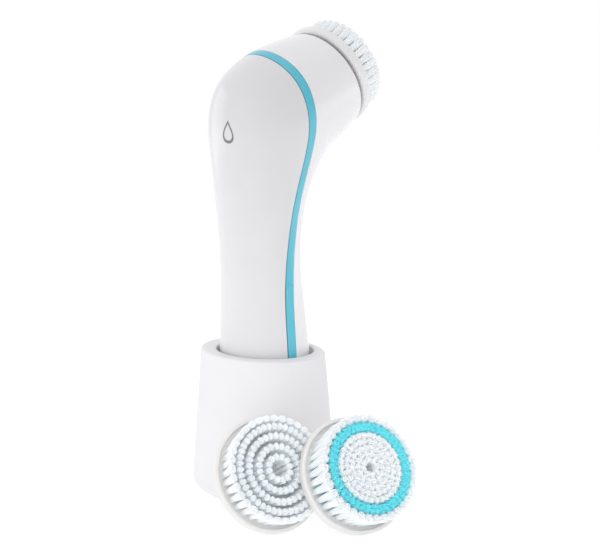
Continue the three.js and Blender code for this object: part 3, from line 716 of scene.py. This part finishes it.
def bristles(rng, tufts, tip, thickness, ruffle):
    """Filaments in tufts, as points and triangles in the head's own frame. A tuft is (root
    radius, tip radius, angle, root size, tip size, count): sizes are half widths, out from
    the axis and round it. tip is the height of the tips, and ruffle is how far they stray."""
    scatter, lean, uneven = 0.05, 0.04, 0.08  # of places in a tuft, whole tufts, and lengths
    roots, tips = [], []
    for root_radius, tip_radius, angle, root_size, tip_size, count in tufts:
        share = np.sqrt((np.arange(count) + 0.5) / count)
        turn = np.arange(count) * GOLDEN_ANGLE + rng.uniform(0, 2 * math.pi)
        disc = np.stack([share * np.cos(turn), share * np.sin(turn)], -1)
        disc += rng.normal(0, scatter, disc.shape)
        stray = rng.normal(0, ruffle, (count, 2)) + rng.normal(0, lean, 2)
        shorter = TUFT_DOME * (disc**2).sum(1) + abs(rng.normal(0, uneven, count))
        out = np.array([math.cos(angle), math.sin(angle)])
        across = np.array([-math.sin(angle), math.cos(angle)])
        root = disc * root_size
        end = disc * tip_size + stray
        for found, radius, flat, height in (
            (roots, root_radius, root, np.full(count, HEAD_FLOOR - 0.2)),
            (tips, tip_radius, end, tip - 0.05 - shorter),
        ):
            place = (radius + flat[:, :1]) * out + flat[:, 1:] * across
            found.append(np.column_stack([place, height]))
    roots, tips = np.vstack(roots), np.vstack(tips)
    count, sides = len(roots), 4
    shares = np.array([0, 0.55, 0.99])
    radii = np.array([0.9, 1.0, 1.05]) * thickness
    spread = shares**1.25
    lines = roots[:, None] + (tips - roots)[:, None] * np.stack([spread, spread, shares], -1)
    spin = rng.uniform(0, 2 * math.pi, count)[:, None] + np.arange(sides) * 2 * math.pi / sides
    section = np.stack([np.cos(spin), np.sin(spin), 0 * spin], -1)
    rings = lines[:, :, None] + section[:, None] * radii[None, :, None, None]
    points = np.concatenate([rings.reshape(count, -1, 3), tips[:, None]], 1)
    triangles = [(0, 2, 1), (0, 3, 2)]
    last = sides * (len(shares) - 1)
    for i in range(sides):
        j = (i + 1) % sides
        for low in range(0, last, sides):
            high = low + sides
            triangles += [(low + i, low + j, high + j), (low + i, high + j, high + i)]
        triangles.append((last + i, last + j, last + sides))
    faces = np.arange(count)[:, None, None] * (last + sides + 1) + np.array(triangles)
    return points.reshape(-1, 3), faces.reshape(-1, 3)


def bristle_piece(node, tufts, head, slot, seed, thickness=0.14, ruffle=0.05):
    matrix, body, tip = head
    points, triangles = bristles(np.random.default_rng(seed), tufts, tip, thickness, ruffle)
    points = moved(points, matrix)
    mesh = bpy.data.meshes.new(f"{node}_filaments")
    mesh.vertices.add(len(points))
    mesh.vertices.foreach_set("co", (points * MM).astype(np.float32).ravel())
    mesh.loops.add(triangles.size)
    mesh.loops.foreach_set("vertex_index", triangles.astype(np.int32).ravel())
    mesh.polygons.add(len(triangles))
    mesh.polygons.foreach_set("loop_start", np.arange(0, triangles.size, 3, dtype=np.int32))
    mesh.update(calc_edges=True)
    mesh.shade_flat()
    obj = bpy.data.objects.new(f"{node}_filaments", mesh)
    bpy.context.scene.collection.objects.link(obj)
    settle(obj, body, slot, [node])


def tuft_ring(tip_radius, number, tip_size, count, root_radius=None, root_size=(0.62, 0.72), phase=0.0):
    """A ring of tufts that lean out a little, turned by a phase in tufts."""
    root_radius = tip_radius * 0.93 if root_radius is None else root_radius
    angles = (np.arange(number) + phase) * 2 * math.pi / number
    return [(root_radius, tip_radius, angle, root_size, tip_size, count) for angle in angles]


def outer_tufts(tip_radius=20.7, tip_size=(1.3, 1.74), count=150):
    return tuft_ring(tip_radius, 36, tip_size, count, root_radius=19.6, root_size=(0.8, 1.0))


def tuft_field(radii, count):
    """Rings of round tufts that nearly touch."""
    spacing = 2.45
    field = []
    for k, radius in enumerate(radii):
        number = round(2 * math.pi * radius / spacing)
        field += tuft_ring(radius, number, (1.26, 1.22), count, phase=0.5 * (k % 2))
    return field


def build_heads():
    mounted = (MOUNTED, "brush_head", TUFT_TIP)
    spare_a = (axis_matrix(*SPARE_A), "spare_head_a", SPARE_A_TIP)
    spare_b = (axis_matrix(*SPARE_B), "spare_head_b", SPARE_B_TIP)
    head_base("brush_base", *mounted[:2], "white_head")
    head_base("spare_a_base", *spare_a[:2], "white_base")
    head_base("spare_b_base", *spare_b[:2], "white_base")

    white, teal = "bristle_white", "bristle_teal"
    bristle_piece("brush_outer_tufts", outer_tufts(), mounted, white, 11)
    field = tuft_field((2.6, 5.0, 7.4, 9.8, 12.2, 14.6, 17.0), 42)
    bristle_piece("brush_inner_tufts", field, mounted, white, 12, 0.15)

    bristle_piece("spare_a_tufts_outer", outer_tufts(), spare_a, white, 21)
    for k, radius in enumerate((4.8, 9.1, 13.4, 17.4)):
        ring = tuft_ring(radius, round(2.5 * radius), (1.45, 1.15), 90, phase=0.3 * k)
        bristle_piece(f"spare_a_tufts_{k + 1}", ring, spare_a, white, 22 + k)

    outer = outer_tufts(20.2, (1.7, 1.78), 140)
    bristle_piece("spare_b_tufts_outer", outer, spare_b, white, 31, ruffle=0.22)
    ring = tuft_ring(15.8, 42, (0.95, 1.15), 60) + tuft_ring(17.3, 46, (0.9, 1.15), 60, phase=0.5)
    bristle_piece("spare_b_tufts_teal", ring, spare_b, teal, 32, ruffle=0.32)
    field = tuft_field((3.2, 5.6, 8.0, 10.5, 13.1), 85)
    bristle_piece("spare_b_tufts_centre", field, spare_b, white, 33, ruffle=0.25)


build_heads()


# ---------------------------------------------------------------- neck, button and cap
def turned_piece(node, corners, matrix, body, slot, steps=4, material=None):
    """A smooth piece turned about a matrix's Z, in place of a CAD node. The outline starts and
    ends on the axis, or closes."""
    outline = rounded(corners, steps)
    points, faces = skin(turned(outline))
    if np.allclose(outline[0], outline[-1]) and outline[0][0] > 0:
        count = len(points) - AROUND
        points, faces = points[:count], [tuple(v % count for v in face) for face in faces]
    piece = make_object(f"{node}_fine", moved(points, matrix), faces)
    settle(piece, body, slot, [node], material)


def build_button_and_light():
    foot = 11.3  # the button's underside, in front of the middle
    button = [
        (0, foot), (7.3, foot, 0.1), (7.3, 11.65, 0.1), (BUTTON_RADIUS, 11.65, 0.15),
        (BUTTON_RADIUS, 15.35, 0.7), (2.5, 15.65, 4), (0, 15.5),
    ]
    turned_piece("power_button", button, front_matrix(BUTTON_Z), "button", "teal_trim", 6)
    low, high = 9.6, 16.2
    lens = [(0, low), (LIGHT_RADIUS, low, 0.1), (LIGHT_RADIUS, high, 0.5), (0, high)]
    turned_piece("light_pipe", lens, front_matrix(LIGHT_Z), "handle", "clear_lens", 5)


def build_neck():
    """The plate that closes the neck with a cup for the head's hub, the seal and the spindle."""
    bore, cup_radius = 5.3, HUB_RADIUS + 1.7
    cup_floor = HEAD_STANDOFF - HUB_LENGTH - 0.6
    cup_bottom, cup_outside = cup_floor - 1.2, cup_radius + 1.2
    plate_radius = NECK_RADIUS - CASING_INSIDE - GAP
    plate = [
        (bore, cup_floor - 0.6), (bore, cup_bottom), (cup_outside, cup_bottom, 0.3),
        (cup_outside, -2.4, 0.3), (plate_radius, -2.4), (plate_radius, -0.6, 0.3),
        (cup_radius, -0.6, 0.5), (cup_radius, cup_floor, 0.4), (bore, cup_floor, 0.2),
        (bore, cup_floor - 0.6),
    ]
    # The plate is painted near black, a painted shadow for the gap between the neck's end and the head.
    turned_piece("neck_plate", plate, NECK, "handle", "white_base", material="neck_painted_shadow")

    shaft = 3.15
    seal = [
        (shaft, -5.2), (shaft, -5.7), (5, -5.7, 0.15), (5, -4.7, 0.15), (4, -4.7),
        (3.7, -4.85, 0.2), (shaft, -4.7, 0.1), (shaft, -5.2),
    ]
    turned_piece("shaft_seal", seal, NECK, "handle", "dark_rubber")

    inner_end = -16.2
    drive_end = HEAD_STANDOFF - HUB_LENGTH + SOCKET_DEPTH - GAP
    corner, chamfer = SOCKET_CORNER - 0.35, 0.4
    round_part = rounded([(0, inner_end), (3, inner_end, 0.3), (3, -4.2, 0.05), (2.6, -4.2)])
    rings = [
        np.array([0, 0, inner_end]),
        *turned(round_part[1:-1]),
        hexagon(corner, -4.15),
        hexagon(corner, drive_end - chamfer),
        hexagon(corner - chamfer, drive_end),
        np.array([0, 0, drive_end]),
    ]
    points, faces = skin(rings)
    spindle = make_object("spindle_fine", moved(points, NECK), faces)
    settle(spindle, "spindle", "steel", ["spindle"])


def build_end_cap():
    shift, z, wide, deep = HANDLE_STATIONS[0][:4]
    inset, low, high = CASING_INSIDE + GAP, z + 0.2, z + 2.6
    corners = rounded([(wide, low), (inset, low, 0.5), (inset, high, 0.3), (wide, high)])
    rings = [oval(wide - edge, deep - edge, height, shift) for edge, height in corners[1:-1]]
    points, faces = skin([np.array([0, shift, low]), *rings, np.array([0, shift, high])])
    cap = make_object("handle_end_cap_fine", points, faces)
    settle(cap, "handle", "white_base", ["handle_end_cap"])


build_button_and_light()
build_neck()
build_end_cap()


def finish_cad_nodes():
    """Every CAD node that stays takes the procedural finish of its slot."""
    for part in frame["record"]["subparts"]:
        slots = frame["nodes"][part["node"]].data.materials
        slots.clear()
        slots.append(MATERIALS[part["material_slot"]])


finish_cad_nodes()


# ---------------------------------------------------------------- camera, light and floor
def soft_light(name, place, target, size, power, spread=math.pi):
    """A square light in metres and watts that faces the target."""
    light = bpy.data.objects.new(name, bpy.data.lights.new(name, "AREA"))
    light.data.size = size
    light.data.energy = power
    light.data.spread = spread
    light.visible_glossy = spread == math.pi
    light.location = place
    light.rotation_euler = (target - place).to_track_quat("-Z", "Y").to_euler()
    bpy.context.scene.collection.objects.link(light)


def build_camera():
    """The camera behind the object and to one side. Gives back its level directions, ahead
    and to the right."""
    camera = bpy.data.objects.new("camera", bpy.data.cameras.new("camera"))
    bpy.context.scene.collection.objects.link(camera)
    camera.data.sensor_width = 36
    camera.data.lens = CAMERA_LENS
    camera.data.clip_start = 0.01
    turn, down, roll = (math.radians(angle) for angle in CAMERA_ANGLES)
    level = math.cos(down)
    ahead = Vector((-math.sin(turn) * level, math.cos(turn) * level, -math.sin(down)))
    right = Vector((math.cos(turn), math.sin(turn), 0))
    up = right.cross(ahead)
    rolled_right = right * math.cos(roll) + up * math.sin(roll)
    rolled_up = up * math.cos(roll) - right * math.sin(roll)
    pose = Matrix((rolled_right, rolled_up, -ahead)).transposed().to_4x4()
    pose.translation = Vector(CAMERA_PLACE)
    camera.matrix_world = pose
    bpy.context.scene.camera = camera
    return Vector((ahead.x, ahead.y, 0)).normalized(), right


def math_node(tree, operation, *sources):
    node = tree.nodes.new("ShaderNodeMath")
    node.operation = operation
    for source, socket in zip(sources, node.inputs):
        tree.links.new(source, socket)
    return node.outputs["Value"]


def dot_node(tree, source, axis):
    node = tree.nodes.new("ShaderNodeVectorMath")
    node.operation = "DOT_PRODUCT"
    node.inputs[1].default_value = axis
    tree.links.new(source, node.inputs[0])
    return node.outputs["Value"]


def range_node(tree, source, source_range, result_range):
    """Turns one range of values into another, and holds it at the ends."""
    node = tree.nodes.new("ShaderNodeMapRange")
    names = ("From Min", "From Max", "To Min", "To Max")
    for name, value in zip(names, (*source_range, *result_range)):
        node.inputs[name].default_value = value
    tree.links.new(source, node.inputs["Value"])
    return node.outputs["Result"]


def build_world(ahead, right):
    """The room is a little brighter overhead than at the horizon, dimmer at both sides than
    before and behind the camera, and dimmest over the camera's right shoulder."""
    world = bpy.data.worlds.new("studio")
    world.use_nodes = True
    tree = world.node_tree
    background = tree.nodes["Background"]
    background.inputs["Color"].default_value = (1, 1, 1, 1)
    direction = tree.nodes.new("ShaderNodeTexCoord").outputs["Generated"]
    height = tree.nodes.new("ShaderNodeSeparateXYZ")
    tree.links.new(direction, height.inputs["Vector"])
    sideways = math_node(tree, "ABSOLUTE", dot_node(tree, direction, right))
    shoulder = dot_node(tree, direction, (right * 0.8 - ahead * 0.6).normalized())
    overhead = range_node(tree, height.outputs["Z"], (0.25, 1), (1, 1.15))
    sides = range_node(tree, sideways, (0.4, 1), (1, 0.6))
    card = range_node(tree, shoulder, (0.3, 0.9), (1, 0.55))
    strength = math_node(tree, "MULTIPLY", math_node(tree, "MULTIPLY", overhead, sides), card)
    tree.links.new(strength, background.inputs["Strength"])
    bpy.context.scene.world = world


def build_lights(ahead, right):
    middle, spares = Vector((0, 0, 0.12)), Vector((-0.045, 0.015, 0.03))
    side_height, low_height = Vector((0, 0, 0.3)), Vector((0, 0, 0.22))
    for k, (out, forward, power) in enumerate(((0.9, 0.3, 1.35), (-0.9, 0.25, 1.9))):
        place = right * out + ahead * forward + side_height
        soft_light(f"side_light_{k + 1}", place, middle, 0.8, power)
    low = right * 0.02 - ahead * 0.5 + low_height
    soft_light("low_light", low, spares, 0.2, 0.035, math.radians(35))


def build_floor():
    """A wide round floor that glows a little, so that it stays white."""
    rings = [circle(radius, 0) for radius in (300, 1200, 6000)]
    points, faces = skin([np.array([0, 0, 0]), *rings])
    floor = make_object("floor", points, faces)
    settings = dict(tint=0.004, tint_scale=3, grain_scale=200)
    white = finish("floor_white", (0.62, 0.62, 0.625), 0.9, **settings)
    shader = white.node_tree.nodes["Principled BSDF"]
    shader.inputs["Emission Color"].default_value = (1, 1, 1, 1)
    shader.inputs["Emission Strength"].default_value = 0.5
    floor.data.materials.append(white)


def build_studio():
    ahead, right = build_camera()
    build_world(ahead, right)
    scene = bpy.context.scene
    scene.view_settings.view_transform = "Standard"
    # White bristles pass light between them many times before it comes out again.
    scene.cycles.max_bounces = 24
    scene.cycles.diffuse_bounces = 24
    build_lights(ahead, right)
    build_floor()


build_studio()
